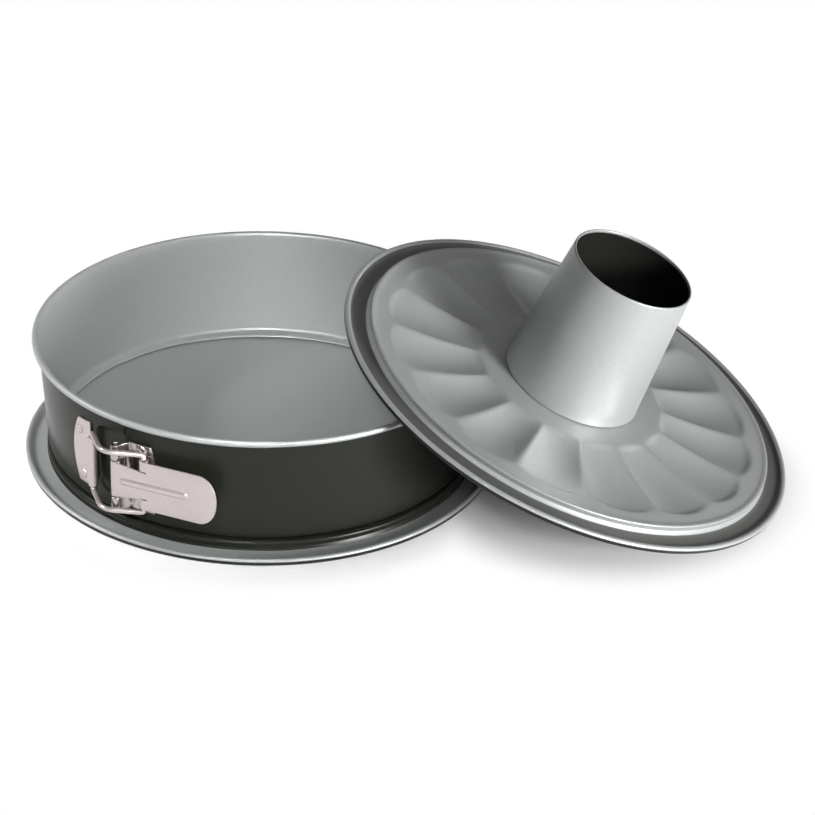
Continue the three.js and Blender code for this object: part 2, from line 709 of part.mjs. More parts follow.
// Named mesh from a solid
function node(name, body, material) {
  const mesh = body.getMesh();
  const geometry = new THREE.BufferGeometry();
  geometry.setAttribute("position", new THREE.BufferAttribute(new Float32Array(mesh.vertProperties), 3));
  geometry.setIndex(new THREE.BufferAttribute(new Uint32Array(mesh.triVerts), 1));
  geometry.computeVertexNormals();
  const item = new THREE.Mesh(geometry, material);
  item.name = name;
  return item;
}

const group = new THREE.Group();
group.name = "springform_tube_pan";

const pan = new THREE.Group();
pan.name = "pan";
pan.add(node("flat_base", makeFlatBase(), coated));
pan.add(node("band_right", makeBandRight(), outerCoat));
pan.add(node("lever_bracket", makeLeverBracket(), bright));
pan.add(node("bracket_rivet_upper", makeRivet(bracketRivetDeg, bracketRivets[0]), bright));
pan.add(node("bracket_rivet_lower", makeRivet(bracketRivetDeg, bracketRivets[1]), bright));
pan.add(node("lever_hinge_pin", makePin(), bright));
group.add(pan);

const leftBand = new THREE.Group();
leftBand.name = "left_band";
leftBand.add(node("band_left", makeBandLeft(), outerCoat));
leftBand.add(node("bail_plate", makeBailPlate(), bright));
leftBand.add(node("bail_rivet_upper", makeRivet(bailRivetDeg, bailRivets[0]), bright));
leftBand.add(node("bail_rivet_lower", makeRivet(bailRivetDeg, bailRivets[1]), bright));
group.add(leftBand);

const clasp = new THREE.Group();
clasp.name = "clasp";
clasp.add(node("wire_bail", makeBail(), bright));
clasp.add(node("lever", makeLever(), bright));
group.add(clasp);

const tubeBase = new THREE.Group();
tubeBase.name = "tube_base";
tubeBase.add(node("tube_base_disc", makeTubeBaseDisc(), coated));
tubeBase.add(node("centre_tube", makeCentreTube(), coated));
group.add(tubeBase);

export default group;
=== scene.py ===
import math

import bmesh
import bpy
from mathutils import Euler, Matrix, Vector


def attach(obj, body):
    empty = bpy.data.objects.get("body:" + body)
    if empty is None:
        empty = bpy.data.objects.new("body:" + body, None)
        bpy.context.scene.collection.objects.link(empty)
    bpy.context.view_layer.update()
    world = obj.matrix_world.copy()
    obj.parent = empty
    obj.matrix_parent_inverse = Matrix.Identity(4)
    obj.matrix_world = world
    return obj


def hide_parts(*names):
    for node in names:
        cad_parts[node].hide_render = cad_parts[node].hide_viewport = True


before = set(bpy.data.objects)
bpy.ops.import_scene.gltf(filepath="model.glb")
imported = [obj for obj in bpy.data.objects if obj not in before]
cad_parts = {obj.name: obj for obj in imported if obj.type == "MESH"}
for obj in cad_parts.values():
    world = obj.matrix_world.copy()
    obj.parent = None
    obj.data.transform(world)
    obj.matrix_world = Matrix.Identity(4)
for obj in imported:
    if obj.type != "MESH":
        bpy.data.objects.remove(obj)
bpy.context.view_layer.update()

# Sizes are in millimetres and angles in degrees, in the frame's own axes
MM = 0.001
SHEET = 0.6
CLEAR = 0.35
CREASE_DEG = 40
GRID_EDGE = 0.001

# Places of the coats in a piece's list of materials
FIRST_COAT, SECOND_COAT, THIRD_COAT = 0, 1, 2

# Base edge, shared by the flat base and the tube base
EDGE_R = 125.75
PLATEAU_Z = 7.2
FLANGE_Z = 0.95
LIP_R = EDGE_R + 14.05
LIP_TOP = FLANGE_Z + 2.9
# Height where the lip's dark coat starts; the dark band below is partly painted shade along the lip's
# foot
LIP_PAINT_Z = 2.3

# Side band
RIM_R = EDGE_R + 8.45
RIM_Z = 73.75
ROLL_R = 1.95
BEAD_R = EDGE_R - 6.2
WALL_FOOT = (EDGE_R + 0.05, PLATEAU_Z + 5.4)
WALL_TOP = (RIM_R - 2 * ROLL_R - 0.55, RIM_Z - ROLL_R - 0.65)
WALL_LEAN = (WALL_TOP[0] - WALL_FOOT[0]) / (WALL_TOP[1] - WALL_FOOT[1])
SLEEVE_END_DEG = 287.0
SLEEVE_SWELL = 1.1

# Seam at the clasp, split at the back, and the recessed lap end of the left strip
SEAM_DEG = 248.6
SEAM_SLANT_DEG = 4.4
SEAM_FOOT_Z = WALL_FOOT[1] + 1
SEAM_GAP = 1.6
RIM_GAP = 0.06
SPLIT_GAP = 0.16
LAP_LOW_Z = 20.9
LAP_HIGH_Z = 62.8
LAP_START_DEG = 239.9
LAP_END_DEG = 258.0
LAP_EDGE_END_DEG = SEAM_DEG + 1.6
LAP_TONGUE_HALF = 16.4
LAP_DEPTH = CLEAR + SHEET
LAP_CORNER = 6.0
LAP_RAMP = 1.4

# Tube base
TUBE_BEAD_RISE = 0.6
TUBE_EDGE_FLARE = 1
# Ring of the tube base's drip channel that gets the darker coat: painted shade
CHANNEL_SHADE_IN = EDGE_R + 1.2
CHANNEL_SHADE_OUT = LIP_R - 3.3
FLUTES = 16
FLUTE_STEPS = 20
FLUTE_ROWS = 42
FLUTE_IN = 56.0
FLUTE_OUT = EDGE_R - 9.5
CREST_SHORT_IN = 1.5
CREST_SHORT_OUT = 5.0
RIDGE_DEPTH = 0.8
SCALLOP_DEPTH = 4.1
FLUTE_TURN_DEG = 16.5
HOLE_R = 40.6
TUBE_FOOT_R = HOLE_R + 0.9
TUBE_TOP_R = 36.4
TUBE_TOP_Z = 90.6
TUBE_T = 0.75
TUBE_RIM = 1.3
TUBE_FOLD = 2.2
TILT_DEG = 21.972
TUBE_BASE_AT = (178.15, 17.0, 52.418)

# Clasp: distances out from the pan's axis with angles, then stock and heights
CLASP_Z = 39.2
CLASP_WALL = 128.195
PIN_AT = (CLASP_WALL + 8.3, 248.67)
BAIL_END_AT = (CLASP_WALL + 5.9, 256.1)
BAIL_ROOT_AT = (CLASP_WALL + 3.9, 239.27)
KNEE_AT = (CLASP_WALL + 16.0, 247.1)
KNEE_BEND = 7.5
END_BEND = 2.4
WIRE_R = 1.55
PIN_R = 1.3
PIN_SHORT = 1.5
CURL_R = 2.2
PLATE_T = 0.9
PLATE_LIFT = CLEAR + PLATE_T / 2
PLATE_EDGE = 0.18
THIN_EDGE = 0.15
BAIL_PLATE_DOWN = 20.7
BAIL_PLATE_UP = 22.9
BAIL_PLATE_NEAR = 3.3
BAIL_HALF = 18.5
BAIL_BARREL_HALF = 15.7
KNUCKLE_HALF = 21.2
BRACKET_HALF = 22.2
LEVER_HALF = 15.2
LEVER_LEN = 63.5
PADDLE_ROUND = 11
PADDLE_PULL = 6
PADDLE_TIP_HALF = 9
TONGUE_ROOT_HALF = 11.1
TONGUE_TIP_HALF = 8.2
TAB_HALF = 9.0
RIB_START = 6.0
RIB_END = LEVER_LEN - 19.5
RIB_HALF = 2.5
BAIL_RIVET_ALONG = -12.9
BAIL_RIVET_DZ = 14.8
BRACKET_RIVET_ALONG = 12.5
BRACKET_RIVET_DZ = 19.6


def plan(out, deg):
    """Plan point from a distance out from the pan's axis and an angle."""
    return Vector((out * math.cos(math.radians(deg)), out * math.sin(math.radians(deg)), 0))


def around(co):
    """Angle of a place round the pan's axis."""
    return math.degrees(math.atan2(co.y, co.x)) % 360


def wall_out(z):
    """Outer face of the wall at a height, as a distance from the axis."""
    return WALL_FOOT[0] + WALL_LEAN * (z - WALL_FOOT[1]) + SHEET


def wall_deg(deg, along):
    """Angle of a place on the wall, from an angle and a distance along the wall."""
    return deg + math.degrees(along / CLASP_WALL)


def ease(t):
    """Smooth rise from 0 to 1."""
    t = max(0.0, min(1.0, t))
    return t * t * (3 - 2 * t)


def softened(path, rounds):
    """The path with its corners cut, ends kept."""
    for _ in range(rounds):
        cut = [path[0]]
        for (r0, z0), (r1, z1) in zip(path, path[1:]):
            cut.append((0.75 * r0 + 0.25 * r1, 0.75 * z0 + 0.25 * z1))
            cut.append((0.25 * r0 + 0.75 * r1, 0.25 * z0 + 0.75 * z1))
        cut.append(path[-1])
        path = cut
    return path


def offset(path, distance):
    """The path moved a distance to its right-hand side; no corner runs out too far."""
    most_stretch = 1.3
    least_turn = 0.3
    normals = []
    for (r0, z0), (r1, z1) in zip(path, path[1:]):
        length = math.hypot(r1 - r0, z1 - z0)
        normals.append(Vector(((z1 - z0) / length, -(r1 - r0) / length)))
    moved = []
    for i, (r, z) in enumerate(path):
        before = normals[max(0, i - 1)]
        after = normals[min(len(normals) - 1, i)]
        mid = (before + after).normalized()
        stretch = min(most_stretch, 1 / max(least_turn, mid.dot(after)))
        moved.append((r + mid.x * distance * stretch, z + mid.y * distance * stretch))
    return moved


def bezier(a, b, c, d, steps):
    """Points of a cubic curve, its first point left out."""
    points = []
    for i in range(1, steps + 1):
        t = i / steps
        weights = ((1 - t) ** 3, 3 * t * (1 - t) ** 2, 3 * t * t * (1 - t), t ** 3)
        points.append(tuple(sum(w * p[k] for w, p in zip(weights, (a, b, c, d))) for k in (0, 1)))
    return points


def spin_skin(bm, path, start_deg, turn_deg, steps, material):
    """Turns an open path of (radius, height) points about the vertical axis into one skin."""
    start = math.radians(start_deg)
    old = set(bm.faces)
    verts = []
    for r, z in path:
        verts.append(bm.verts.new((r * MM * math.cos(start), r * MM * math.sin(start), z * MM)))
    edges = [bm.edges.new(pair) for pair in zip(verts, verts[1:])]
    bmesh.ops.spin(
        bm, geom=verts + edges, cent=(0, 0, 0), axis=(0, 0, 1), dvec=(0, 0, 0),
        angle=math.radians(turn_deg), steps=steps, use_merge=abs(turn_deg) >= 360,
        use_normal_flip=False, use_duplicate=False,
    )
    for face in bm.faces:
        if face not in old:
            face.material_index = material


def spin_round(bm, path, steps, material):
    """Skin of a whole turn."""
    spin_skin(bm, path, 0, 360, steps, material)


def weld(bm):
    """Joins the skins along their shared rims and points the faces outward."""
    merge_m = 2e-6
    sliver_m = 1e-7
    bmesh.ops.remove_doubles(bm, verts=bm.verts, dist=merge_m)
    bmesh.ops.dissolve_degenerate(bm, edges=bm.edges, dist=sliver_m)
    bmesh.ops.recalc_face_normals(bm, faces=bm.faces)


def make_piece(bm, name, body, nodes, materials):
    """Mesh object from the bmesh, shaded smooth with creases kept, riding on its body."""
    crease = math.radians(CREASE_DEG)
    for face in bm.faces:
        face.smooth = True
    for edge in bm.edges:
        if len(edge.link_faces) == 2 and edge.calc_face_angle() > crease:
            edge.smooth = False
    mesh = bpy.data.meshes.new(name)
    bm.to_mesh(mesh)
    bm.free()
    for material in materials:
        mesh.materials.append(material)
    piece = bpy.data.objects.new(name, mesh)
    bpy.context.scene.collection.objects.link(piece)
    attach(piece, body)
    if nodes:
        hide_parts(*nodes)
    return piece


def thicken(piece, thickness, edge):
    """Gives a sheet its thickness, half on each side, and breaks its cut edges."""
    sharp_deg = 50
    solid = piece.modifiers.new("thickness", "SOLIDIFY")
    solid.thickness = thickness * MM
    solid.offset = 0
    solid.use_even_offset = True
    broken = piece.modifiers.new("edges", "BEVEL")
    broken.width = edge * MM
    broken.segments = 2
    broken.limit_method = "ANGLE"
    broken.angle_limit = math.radians(sharp_deg)
    return solid


# Finishes
def shader(name, colour, metallic, roughness):
    material = bpy.data.materials.new(name)
    material.use_nodes = True
    tree = material.node_tree
    surface = tree.nodes["Principled BSDF"]
    surface.inputs["Base Color"].default_value = (*colour, 1)
    surface.inputs["Metallic"].default_value = metallic
    surface.inputs["Roughness"].default_value = roughness
    return material, tree, surface


def add_node(tree, kind, **sockets):
    node = tree.nodes.new(kind)
    for key, value in sockets.items():
        node.inputs[key.replace("_", " ")].default_value = value
    return node


def combine(tree, operation, first, second):
    """Result of a math node on two sockets."""
    node = tree.nodes.new("ShaderNodeMath")
    node.operation = operation
    tree.links.new(first, node.inputs[0])
    tree.links.new(second, node.inputs[1])
    return node.outputs["Value"]


def add_grain(tree, surface, colour, rough, speckle, scale, bump, rough_spread):
    """Fine speckle of a sprayed coat: colour, gloss and height from noise on object coordinates."""
    relief_m = 0.0002
    where = tree.nodes.new("ShaderNodeTexCoord")
    grain = add_node(tree, "ShaderNodeTexNoise", Scale=scale, Detail=3.0, Roughness=0.6)
    cloud = add_node(tree, "ShaderNodeTexNoise", Scale=scale / 40, Detail=2.0, Roughness=0.5)
    peel = add_node(tree, "ShaderNodeTexNoise", Scale=scale / 5, Detail=2.0, Roughness=0.5)
    for noise in (grain, cloud, peel):
        tree.links.new(where.outputs["Object"], noise.inputs["Vector"])
    tint = tree.nodes.new("ShaderNodeValToRGB")
    tint.color_ramp.elements[0].position = 0.3
    tint.color_ramp.elements[1].position = 0.7
    tint.color_ramp.elements[0].color = (*[c * (1 - speckle) for c in colour], 1)
    tint.color_ramp.elements[1].color = (*[min(1, c * (1 + speckle)) for c in colour], 1)
    tree.links.new(grain.outputs["Fac"], tint.inputs["Fac"])
    tree.links.new(tint.outputs["Color"], surface.inputs["Base Color"])
    smooth, dull = rough - rough_spread, rough + rough_spread
    gloss = add_node(tree, "ShaderNodeMapRange", To_Min=smooth, To_Max=dull)
    tree.links.new(cloud.outputs["Fac"], gloss.inputs["Value"])
    tree.links.new(gloss.outputs["Result"], surface.inputs["Roughness"])
    height = combine(tree, "ADD", grain.outputs["Fac"], peel.outputs["Fac"])
    relief = add_node(tree, "ShaderNodeBump", Strength=bump, Distance=relief_m)
    tree.links.new(height, relief.inputs["Height"])
    tree.links.new(relief.outputs["Normal"], surface.inputs["Normal"])


def make_grey_coat():
    colour = (0.37, 0.385, 0.38)
    rough = 0.46
    material, tree, surface = shader("grey_coat", colour, metallic=0.5, roughness=rough)
    add_grain(tree, surface, colour, rough, speckle=0.08, scale=1400, bump=0.14, rough_spread=0.04)
    return material


def make_dark_coat():
    colour = (0.010, 0.011, 0.008)
    rough = 0.3
    material, tree, surface = shader("dark_coat", colour, metallic=0.0, roughness=rough)
    surface.inputs["Specular IOR Level"].default_value = 0.22
    add_grain(tree, surface, colour, rough, speckle=0.1, scale=1200, bump=0.04, rough_spread=0.03)
    return material


# Black lining of the centre tube's inside; also put on the strips' cut ends and the lap's outer face as
# painted shade in the seam
def make_black_lining_and_seam_shade():
    colour = (0.010, 0.011, 0.009)
    rough = 0.5
    material, tree, surface = shader("black_lining_and_seam_shade", colour, metallic=0.0, roughness=rough)
    surface.inputs["Specular IOR Level"].default_value = 0.25
    add_grain(tree, surface, colour, rough, speckle=0.15, scale=1200, bump=0.08, rough_spread=0.05)
    return material


# Grey coat painted dark for the drip channel: painted shade of the channel
def make_channel_painted_shade():
    colour = (0.10, 0.103, 0.097)
    rough = 0.45
    material, tree, surface = shader("channel_painted_shade", colour, metallic=0.5, roughness=rough)
    add_grain(tree, surface, colour, rough, speckle=0.08, scale=1400, bump=0.14, rough_spread=0.04)
    return material


def make_clasp_steel():
    colour = (0.59, 0.525, 0.517)
    rough = 0.36
    material, tree, surface = shader("clasp_steel", colour, metallic=0.85, roughness=rough)
    add_grain(tree, surface, colour, rough, speckle=0.05, scale=700, bump=0.08, rough_spread=0.06)
    return material


# Mirror-bright steel of the lever bracket and its rivets, its colour set darker as painted shade of the
# recess round the knuckles
def make_bright_steel_painted_shade():
    colour = (0.50, 0.46, 0.455)
    rough = 0.17
    material, tree, surface = shader("bright_steel_painted_shade", colour, metallic=1.0, roughness=rough)
    add_grain(tree, surface, colour, rough, speckle=0.04, scale=500, bump=0.05, rough_spread=0.04)
    return material


grey_coat = make_grey_coat()
dark_coat = make_dark_coat()
black_lining_and_seam_shade = make_black_lining_and_seam_shade()
channel_painted_shade = make_channel_painted_shade()
clasp_steel = make_clasp_steel()
bright_steel_painted_shade = make_bright_steel_painted_shade()


# Base edge
def base_edge(rise, flare):
    """Edge of a base: bead lifted by rise, groove with a flared foot, drip flange and rolled lip."""
    top = PLATEAU_Z + rise
    groove = EDGE_R - 0.95 + 0.4 * flare
    return softened([
        (EDGE_R - 5.0, PLATEAU_Z), (EDGE_R - 3.4, PLATEAU_Z + 0.2 * rise), (EDGE_R - 2.0, top),
        (EDGE_R - 0.3, top), (EDGE_R + 0.1, top - 0.9), (groove, PLATEAU_Z - 2.1),
        (groove, FLANGE_Z + 2.0 + flare), (EDGE_R + 0.4 + 1.8 * flare, FLANGE_Z + 0.6),
        (LIP_R - 8.0, FLANGE_Z + 0.2), (LIP_R - 5.2, FLANGE_Z + 0.1), (LIP_R - 3.8, LIP_TOP - 1.3),
        (LIP_R - 2.4, LIP_TOP), (LIP_R - 0.9, LIP_TOP), (LIP_R, LIP_TOP - 0.9), (LIP_R, LIP_PAINT_Z),
    ], 2)


def lip_foot():
    """Dark outside of the rolled lip, down to the table: the underside's dark coat, partly painted shade
    along the lip's foot.
    """
    return [(LIP_R, LIP_PAINT_Z), (LIP_R, LIP_PAINT_Z - 0.6), (LIP_R - 0.15, 0.8), (LIP_R - 0.5, 0.0)]


def spin_base(bm, upper, under, steps):
    """Grey upper face of a base, then its dark lip and underside."""
    spin_round(bm, upper, steps, FIRST_COAT)
    spin_round(bm, lip_foot() + under[::-1], steps, SECOND_COAT)
    weld(bm)


# Flat base
def make_flat_base():
    steps = 240
    rings = (0, 20, 45, 70, 95, 115)
    upper = [(r, PLATEAU_Z) for r in rings] + base_edge(rise=0, flare=0)
    under = offset(upper + lip_foot()[1:], SHEET)
    under[0] = (0, PLATEAU_Z - SHEET)
    under[-1] = (under[-1][0], 0.0)
    bm = bmesh.new()
    spin_base(bm, upper, under, steps)
    make_piece(bm, "flat_base_pressed", "pan", ["flat_base"], [grey_coat, dark_coat])


# Side band
def band_foot():
    """Inner face of the band from its hem over the inward bead to the foot of the wall."""
    hem = PLATEAU_Z - 5.35
    wall = [(WALL_FOOT[0] + rise * WALL_LEAN, WALL_FOOT[1] + rise) for rise in (-1.5, 0.5, 3.0)]
    return softened([
        (EDGE_R + 0.75, hem), (EDGE_R - 0.15, hem + 1.65), (EDGE_R - 0.1, hem + 2.65),
        (EDGE_R + 0.65, hem + 3.85), (EDGE_R + 0.5, PLATEAU_Z - 0.2), (EDGE_R - 1.0, PLATEAU_Z + 0.42),
        (BEAD_R + 1.4, PLATEAU_Z + 0.42), (BEAD_R, PLATEAU_Z + 1.1), (BEAD_R + 0.9, PLATEAU_Z + 2.1),
        (EDGE_R - 1.2, PLATEAU_Z + 2.8), *wall,
    ], 2)


def band_paths(rows):
    """Inner and outer face of the band, up the wall and round the rolled rim."""
    inner = band_foot()
    foot_r, foot_z = inner[-1]
    for i in range(1, rows + 1):
        t = i / rows
        inner.append((foot_r + t * (WALL_TOP[0] - foot_r), foot_z + t * (WALL_TOP[1] - foot_z)))
    roll_from_deg, roll_to_deg, roll_step_deg = 168, -120, 12
    for deg in range(roll_from_deg, roll_to_deg - 1, -roll_step_deg):
        turn = math.radians(deg)
        inner.append((RIM_R - ROLL_R + ROLL_R * math.cos(turn), RIM_Z + ROLL_R * math.sin(turn)))
    return inner, offset(inner, SHEET)


def spin_band(bm, start_deg, end_deg, steps, rows):
    inner, outer = band_paths(rows)
    turn_deg = end_deg - start_deg
    spin_skin(bm, inner, start_deg, turn_deg, steps, FIRST_COAT)
    spin_skin(bm, [inner[0]] + outer + [inner[-1]], start_deg, turn_deg, steps, SECOND_COAT)


def set_end(bm, end_deg, into, slant, wall_gap):
    """Slants a cut end of the strip and opens its half of the gap.

    into is 1 where the strip runs on with growing angle, and -1 where it runs back.
    slant is 1 at the seam and -1 at the split, which leans the other way.
    """
    behind_deg = 1
    slant_fade_deg = 25.0
    gap_fade_deg = 2.0
    lean = slant * math.degrees(math.tan(math.radians(SEAM_SLANT_DEG)) / CLASP_WALL)
    for vert in bm.verts:
        away = ((around(vert.co) - end_deg) * into + behind_deg) % 360 - behind_deg
        if away > slant_fade_deg:
            continue
        z = vert.co.z / MM
        gap = wall_gap if SEAM_FOOT_Z < z < WALL_TOP[1] else RIM_GAP
        away = max(0.0, away)
        turn = lean * (z - CLASP_Z) * (1 - away / slant_fade_deg)
        turn += into * math.degrees(gap / 2 / CLASP_WALL) * max(0.0, 1 - away / gap_fade_deg)
        vert.co = Matrix.Rotation(math.radians(turn), 3, "Z") @ vert.co


def close_ends(bm):
    """Closes the strip's two cut ends, which stay black as painted shade in the seam and split gaps."""
    rim = [e for e in bm.edges if e.is_boundary]
    caps = bmesh.ops.holes_fill(bm, edges=rim, sides=0)["faces"]
    for cap in caps:
        cap.material_index = THIRD_COAT
    bmesh.ops.recalc_face_normals(bm, faces=bm.faces)


def swell_rim(bm):
    """Thickens the rolled rim from the seam to the end of the sleeve that joins it there."""
    low_z = WALL_TOP[1] + 0.3
    start_deg, end_deg = SEAM_DEG - 1, SLEEVE_END_DEG + 0.05
    for vert in bm.verts:
        deg = around(vert.co)
        if vert.co.z / MM < low_z or not start_deg < deg < end_deg:
            continue
        centre = (plan(RIM_R - ROLL_R, deg) + Vector((0, 0, RIM_Z))) * MM
        vert.co = centre + (vert.co - centre) * SLEEVE_SWELL


def make_band_right():
    rows = 24
    sleeve_steps, plain_steps = 38, 118
    notch_end_deg = SLEEVE_END_DEG + 0.3
    back_deg = SEAM_DEG + 180
    bm = bmesh.new()
    spin_band(bm, SEAM_DEG, SLEEVE_END_DEG, sleeve_steps, rows)
    spin_band(bm, SLEEVE_END_DEG, notch_end_deg, 1, rows)
    spin_band(bm, notch_end_deg, back_deg, plain_steps, rows)
    weld(bm)
    swell_rim(bm)
    set_end(bm, SEAM_DEG, into=1, slant=1, wall_gap=SEAM_GAP)
    set_end(bm, back_deg, into=-1, slant=-1, wall_gap=SPLIT_GAP)
    close_ends(bm)
    coats = [grey_coat, dark_coat, black_lining_and_seam_shade]
    make_piece(bm, "band_right_strip", "pan", ["band_right"], coats)


def lap_recess(deg, z):
    """How far the left strip is pressed in at a place, so that the right strip's end lies over it."""
    along = math.radians(deg - LAP_START_DEG) * CLASP_WALL
    up = min(z - LAP_LOW_Z, LAP_HIGH_Z - z)
    inside = min(along, up)
    if along < LAP_CORNER and up < LAP_CORNER:
        inside = LAP_CORNER - math.hypot(LAP_CORNER - along, LAP_CORNER - up)
    return LAP_DEPTH * ease(inside / LAP_RAMP + 0.5)


def make_band_left():
    rows = 76
    plain_steps, fine_steps = 142, 60
    fine_deg = LAP_START_DEG - 1.5
    low_z, high_z = LAP_LOW_Z - 4.9, LAP_HIGH_Z + 5.2
    rim_out = 1
    back_deg = SEAM_DEG - 180
    bm = bmesh.new()
    spin_band(bm, back_deg, fine_deg, plain_steps, rows)
    spin_band(bm, fine_deg, SEAM_DEG, fine_steps, rows)
    weld(bm)
    set_end(bm, back_deg, into=1, slant=-1, wall_gap=SPLIT_GAP)
    set_end(bm, SEAM_DEG, into=-1, slant=1, wall_gap=SEAM_GAP)
    for vert in bm.verts:
        z = vert.co.z / MM
        out = math.hypot(vert.co.x, vert.co.y) / MM
        if around(vert.co) < fine_deg or not low_z < z < high_z or out > wall_out(z) + rim_out:
            continue
        scale = (out - lap_recess(around(vert.co), z)) / out
        vert.co.x *= scale
        vert.co.y *= scale
    close_ends(bm)
    coats = [grey_coat, dark_coat, black_lining_and_seam_shade]
    make_piece(bm, "band_left_strip", "left_band", ["band_left"], coats)


def lap_sheet(bm, end_deg, low, high, columns):
    """Part of the left strip's sheet that runs on behind the right strip."""
    rows = 8
    start_deg = SEAM_DEG - 0.9
    sheet = bmesh.ops.create_grid(bm, x_segments=columns, y_segments=rows, size=0.5)["verts"]
    for vert in sheet:
        deg = start_deg + (vert.co.x + 0.5) * (end_deg - start_deg)
        z = low + (vert.co.y + 0.5) * (high - low)
        vert.co = (plan(wall_out(z) - SHEET - CLEAR - SHEET / 2, deg) + Vector((0, 0, z))) * MM


def make_band_lap():
    """Lap end of the left strip: a tongue between the rivets and a narrow edge above and below it."""
    low, high = CLASP_Z - LAP_TONGUE_HALF, CLASP_Z + LAP_TONGUE_HALF
    top = WALL_TOP[1] - 0.5
    tongue_columns, edge_columns = 24, 4
    bm = bmesh.new()
    lap_sheet(bm, LAP_END_DEG, low, high, tongue_columns)
    lap_sheet(bm, LAP_EDGE_END_DEG, SEAM_FOOT_Z, low, edge_columns)
    lap_sheet(bm, LAP_EDGE_END_DEG, high, top, edge_columns)
    for face in bm.faces:
        face.normal_update()
        if face.normal.dot(face.calc_center_median()) < 0:
            face.normal_flip()
    # The lap's outer face takes the black lining as painted shade in the seam gap
    lap = make_piece(bm, "band_left_lap", "left_band", [], [black_lining_and_seam_shade, grey_coat])
    thicken(lap, SHEET, THIN_EDGE).material_offset = SECOND_COAT


# Tube base
def scoop(r, turn_deg):
    """Depth of the fluted ring at a place: round-ended scoops with a crest between neighbours."""
    fullness = 0.6
    end_share = 0.06
    across = ((turn_deg - FLUTE_TURN_DEG) * FLUTES / 360) % 1
    side = (2 * across - 1) ** 2
    start = FLUTE_IN + CREST_SHORT_IN * side
    end = FLUTE_OUT - CREST_SHORT_OUT * side
    s = (r - start) / (end - start)
    if s <= 0 or s >= 1:
        return 0.0
    bowl = math.sin(math.pi * s)
    depth = RIDGE_DEPTH * bowl + SCALLOP_DEPTH * bowl ** fullness * (1 - side)
    return depth * ease(min(s, 1 - s) / end_share)


def lean_tube_base(bm):
    """Leans what was made round the upright axis on the pan's rim."""
    tilt = Matrix.Rotation(math.radians(TILT_DEG), 4, "Y")
    bm.transform(Matrix.Translation(Vector(TUBE_BASE_AT) * MM) @ tilt)


def make_tube_base_disc():
    row = (FLUTE_OUT - FLUTE_IN) / FLUTE_ROWS
    trough = [FLUTE_IN + i * row for i in range(FLUTE_ROWS + 1)]
    inner_rings, outer_ring = [HOLE_R, 43, 46, 50, 53], 118.5
    rings = inner_rings + trough + [outer_ring]
    upper = [(r, PLATEAU_Z) for r in rings] + base_edge(TUBE_BEAD_RISE, TUBE_EDGE_FLARE)
    under = offset(upper + lip_foot()[1:], SHEET)
    under[-1] = (under[-1][0], 0.0)
    bm = bmesh.new()
    spin_base(bm, upper, under, FLUTES * FLUTE_STEPS)
    hole = [e for e in bm.edges if e.is_boundary]
    bmesh.ops.bridge_loops(bm, edges=hole)
    bmesh.ops.recalc_face_normals(bm, faces=bm.faces)
    # Faces in the drip channel take the dark coat as painted shade
    for face in bm.faces:
        middle = face.calc_center_median() / MM
        out = math.hypot(middle.x, middle.y)
        if face.material_index == FIRST_COAT and CHANNEL_SHADE_IN < out < CHANNEL_SHADE_OUT:
            face.material_index = THIRD_COAT
    for vert in bm.verts:
        out = math.hypot(vert.co.x, vert.co.y) / MM
        vert.co.z -= scoop(out, around(vert.co)) * MM
    lean_tube_base(bm)
    coats = [grey_coat, dark_coat, channel_painted_shade]
    make_piece(bm, "tube_base_fluted", "tube_base", ["tube_base_disc"], coats)


def make_centre_tube():
    """Tube with its rim, and a foot that sits on the disc and folds out below it."""
    steps = 160
    neck = HOLE_R - CLEAR - 0.05
    seat = PLATEAU_Z + CLEAR
    under = PLATEAU_Z - SHEET - CLEAR
    mouth_r = TUBE_TOP_R - TUBE_RIM
    rim = softened([
        (TUBE_TOP_R + 0.05, TUBE_TOP_Z - 2.2), (TUBE_TOP_R, TUBE_TOP_Z - 0.4),
        (TUBE_TOP_R - 0.35, TUBE_TOP_Z), (mouth_r + 0.3, TUBE_TOP_Z),
        (mouth_r, TUBE_TOP_Z - 0.5), (mouth_r + 0.1, TUBE_TOP_Z - 1.6),
    ], 2)
    outer = [
        (neck + TUBE_FOLD, under - TUBE_T), (neck + TUBE_FOLD, under), (neck, under), (neck, seat),
        (TUBE_FOOT_R - 0.3, seat), (TUBE_FOOT_R, seat + 0.25), (TUBE_FOOT_R, seat + 0.7),
        (TUBE_FOOT_R - 0.2, seat + 1.4), (TUBE_FOOT_R - 0.4, seat + 3.4),
    ] + rim
    inner = [
        rim[-1], (TUBE_TOP_R - TUBE_T, TUBE_TOP_Z - 2.6), (TUBE_FOOT_R - TUBE_T - 0.4, seat + 3.4),
        (neck - TUBE_T, seat + 0.9), (neck - TUBE_T, under - TUBE_T),
        (neck + TUBE_FOLD, under - TUBE_T),
    ]
    bm = bmesh.new()
    spin_round(bm, outer, steps, FIRST_COAT)
    spin_round(bm, inner, steps, SECOND_COAT)
    weld(bm)
    lean_tube_base(bm)
    coats = [grey_coat, black_lining_and_seam_shade]
    make_piece(bm, "centre_tube_drawn", "tube_base", ["centre_tube"], coats)


# Clasp
def along_wall(deg):
    """Directions along the wall and outward at an angle round the pan."""
    return plan(1, deg + 90), plan(1, deg)


def curl(centre, along, out, start_deg, end_deg):
    """Places round a roll of sheet with an upright axis; each gives a point for a height."""
    step_deg = 15 if end_deg > start_deg else -15
    places = []
    for deg in range(start_deg, end_deg + step_deg, step_deg):
        turn = math.radians(deg)
        arm = (along * math.cos(turn) + out * math.sin(turn)) * CURL_R
        places.append(lambda z, arm=arm: centre + arm + Vector((0, 0, z)))
    return places


